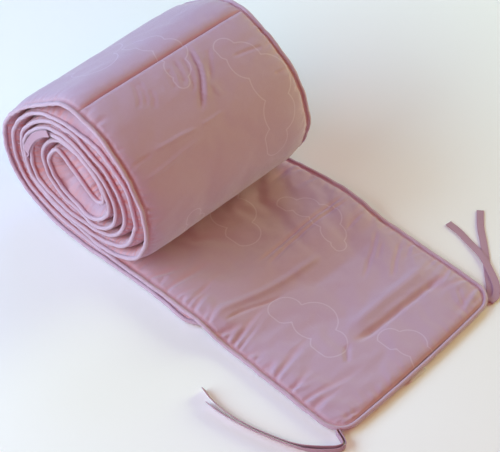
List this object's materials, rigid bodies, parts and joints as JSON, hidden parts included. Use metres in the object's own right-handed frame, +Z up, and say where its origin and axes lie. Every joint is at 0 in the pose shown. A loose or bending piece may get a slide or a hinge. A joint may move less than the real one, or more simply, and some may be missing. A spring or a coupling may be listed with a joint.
{
  "type": "crib bumper",
  "caption": "Padded cotton cot bumper with piped edges and tape ties, rolled up with one end laid out flat.",
  "frame": {"origin": "on the floor under the roll's axis, half-way along the roll", "axes": "+Z up, +X from the roll towards the free end, +Y from the near end of the roll, where the turns show, towards its far end"},
  "size_m": [0.6296, 0.5067, 0.261],
  "materials": {
    "cotton_panel": "fine plain-woven cotton with a soft sheen, pink, printed with thin pale outlines",
    "cotton_piping": "the same cotton cut on the bias over a cord",
    "cotton_tape": "narrow folded and edge-stitched cotton tape, matt",
    "label_tape": "smooth satin ribbon, bare"
  },
  "bodies": {
    "root": {"panel_short_outer": "cotton_panel", "panel_long_outer": "cotton_panel", "panel_short_inner": "cotton_panel", "panel_long_tongue": "cotton_panel", "piping": "cotton_piping", "tie_near": "cotton_tape", "tie_far": "cotton_tape", "tie_tucked": "cotton_tape", "label": "label_tape"}
  },
  "joints": []
}
